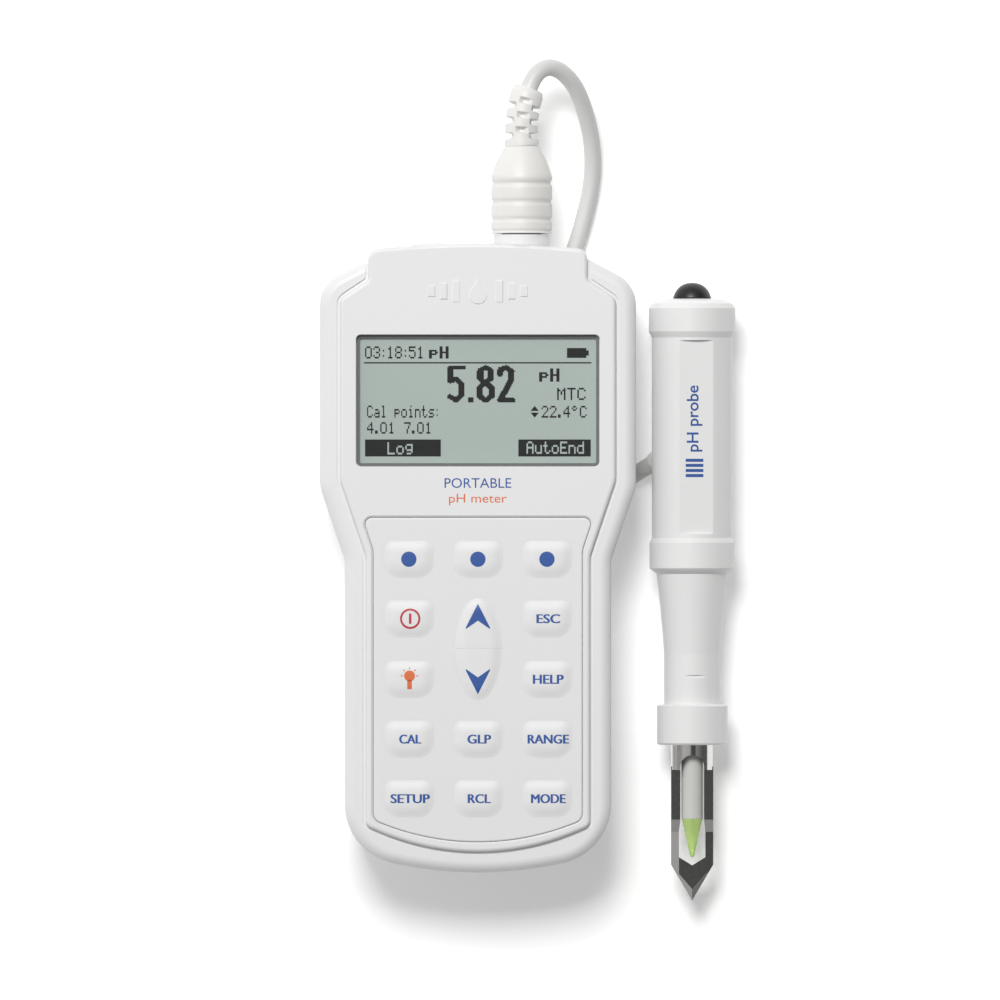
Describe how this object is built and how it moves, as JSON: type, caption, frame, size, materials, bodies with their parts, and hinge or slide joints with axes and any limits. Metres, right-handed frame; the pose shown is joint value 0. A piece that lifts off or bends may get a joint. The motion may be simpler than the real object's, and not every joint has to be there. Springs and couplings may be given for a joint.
{
  "type": "ph meter",
  "caption": "Handheld pH meter with display and keypad, and a white probe with a steel blade and conical glass tip on a coiled cable.",
  "frame": {"origin": "middle of the meter's back rest face, which lies on the surface", "axes": "+Y towards the connector end of the meter, +Z out of the display, +X towards the probe lying beside it"},
  "size_m": [0.1225, 0.2482, 0.0364],
  "materials": {
    "case_white": "satin moulded",
    "keypad_silicone": "satin silicone",
    "seal_rubber": "matte",
    "black_rubber": "satin",
    "circuit_board": "solder mask",
    "black_plastic": "matte",
    "contact_metal": "nickel plated",
    "blade_steel": "polished",
    "screw_steel": "satin",
    "probe_white": "satin moulded",
    "lead_white": "satin",
    "battery_jacket": "printed sleeve",
    "window_clear": "clear",
    "display_glass": "grey-green display",
    "stem_grey": "satin",
    "glass_green": "clear"
  },
  "bodies": {
    "meter": {"batteries": "battery_jacket", "battery_contacts": "contact_metal", "battery_cover": "case_white", "battery_cover_screws": "screw_steel", "battery_cover_seal": "seal_rubber", "beeper": "black_plastic", "board_parts": "black_plastic", "case_screws": "screw_steel", "case_seal": "seal_rubber", "display_window": "window_clear", "front_case": "case_white", "key_contacts": "contact_metal", "keypad_skin": "keypad_silicone", "lcd_frame": "black_plastic", "lcd_panel": "display_glass", "main_board": "circuit_board", "probe_socket": "case_white", "rear_case": "case_white", "socket_core": "black_plastic", "socket_nut": "contact_metal", "socket_seal": "seal_rubber", "usb_port": "contact_metal"},
    "lead": {"plug_shell": "lead_white", "plug_insert": "black_plastic", "plug_pins": "contact_metal", "plug_strain_relief": "lead_white", "lead_cable_front": "lead_white", "lead_coil": "lead_white", "lead_cable_back": "lead_white", "coil_tie": "black_rubber", "probe_gland": "lead_white", "probe_body": "probe_white", "probe_top_cap": "probe_white", "probe_end_plug": "black_rubber", "probe_nose": "probe_white", "probe_board": "circuit_board", "probe_seals": "seal_rubber", "electrode_stem": "stem_grey", "glass_tip": "glass_green", "inner_wire": "contact_metal"},
    "blade": {"blade": "blade_steel", "blade_hub": "probe_white"},
    "blade_nut": {"blade_nut": "probe_white"},
    "usb_cover": {"usb_cover": "keypad_silicone"},
    "key_soft_left": {"key_soft_left": "keypad_silicone"},
    "key_soft_middle": {"key_soft_middle": "keypad_silicone"},
    "key_soft_right": {"key_soft_right": "keypad_silicone"},
    "key_power": {"key_power": "keypad_silicone"},
    "key_up": {"key_up": "keypad_silicone"},
    "key_escape": {"key_escape": "keypad_silicone"},
    "key_light": {"key_light": "keypad_silicone"},
    "key_down": {"key_down": "keypad_silicone"},
    "key_help": {"key_help": "keypad_silicone"},
    "key_calibrate": {"key_calibrate": "keypad_silicone"},
    "key_report": {"key_report": "keypad_silicone"},
    "key_range": {"key_range": "keypad_silicone"},
    "key_setup": {"key_setup": "keypad_silicone"},
    "key_recall": {"key_recall": "keypad_silicone"},
    "key_mode": {"key_mode": "keypad_silicone"}
  },
  "joints": [
    {"name": "plug_pull", "type": "slide", "parent": "meter", "child": "lead", "axis": [0, 1, 0], "range_m": [0, 0.014]},
    {"name": "blade_pull", "type": "slide", "parent": "lead", "child": "blade", "axis": [0, -1, 0], "range_m": [0, 0.048]},
    {"name": "blade_nut_turn", "type": "hinge", "parent": "blade", "child": "blade_nut", "pos_m": [0.0632, -0.049, 0.01285], "axis": [0, 1, 0], "continuous": true},
    {"name": "usb_cover_hinge", "type": "hinge", "parent": "meter", "child": "usb_cover", "pos_m": [-0.013, 0.09168, 0.02477], "axis": [-1, 0, 0], "range_deg": [0, 95]},
    {"name": "key_soft_left_press", "type": "slide", "parent": "meter", "child": "key_soft_left", "axis": [0, 0, -1], "range_m": [0, 0.0008], "stiffness_N_per_m": 1500},
    {"name": "key_soft_middle_press", "type": "slide", "parent": "meter", "child": "key_soft_middle", "axis": [0, 0, -1], "range_m": [0, 0.0008], "stiffness_N_per_m": 1500},
    {"name": "key_soft_right_press", "type": "slide", "parent": "meter", "child": "key_soft_right", "axis": [0, 0, -1], "range_m": [0, 0.0008], "stiffness_N_per_m": 1500},
    {"name": "key_power_press", "type": "slide", "parent": "meter", "child": "key_power", "axis": [0, 0, -1], "range_m": [0, 0.0008], "stiffness_N_per_m": 1500},
    {"name": "key_up_press", "type": "slide", "parent": "meter", "child": "key_up", "axis": [0, 0, -1], "range_m": [0, 0.0008], "stiffness_N_per_m": 1500},
    {"name": "key_escape_press", "type": "slide", "parent": "meter", "child": "key_escape", "axis": [0, 0, -1], "range_m": [0, 0.0008], "stiffness_N_per_m": 1500},
    {"name": "key_light_press", "type": "slide", "parent": "meter", "child": "key_light", "axis": [0, 0, -1], "range_m": [0, 0.0008], "stiffness_N_per_m": 1500},
    {"name": "key_down_press", "type": "slide", "parent": "meter", "child": "key_down", "axis": [0, 0, -1], "range_m": [0, 0.0008], "stiffness_N_per_m": 1500},
    {"name": "key_help_press", "type": "slide", "parent": "meter", "child": "key_help", "axis": [0, 0, -1], "range_m": [0, 0.0008], "stiffness_N_per_m": 1500},
    {"name": "key_calibrate_press", "type": "slide", "parent": "meter", "child": "key_calibrate", "axis": [0, 0, -1], "range_m": [0, 0.0008], "stiffness_N_per_m": 1500},
    {"name": "key_report_press", "type": "slide", "parent": "meter", "child": "key_report", "axis": [0, 0, -1], "range_m": [0, 0.0008], "stiffness_N_per_m": 1500},
    {"name": "key_range_press", "type": "slide", "parent": "meter", "child": "key_range", "axis": [0, 0, -1], "range_m": [0, 0.0008], "stiffness_N_per_m": 1500},
    {"name": "key_setup_press", "type": "slide", "parent": "meter", "child": "key_setup", "axis": [0, 0, -1], "range_m": [0, 0.0008], "stiffness_N_per_m": 1500},
    {"name": "key_recall_press", "type": "slide", "parent": "meter", "child": "key_recall", "axis": [0, 0, -1], "range_m": [0, 0.0008], "stiffness_N_per_m": 1500},
    {"name": "key_mode_press", "type": "slide", "parent": "meter", "child": "key_mode", "axis": [0, 0, -1], "range_m": [0, 0.0008], "stiffness_N_per_m": 1500}
  ]
}
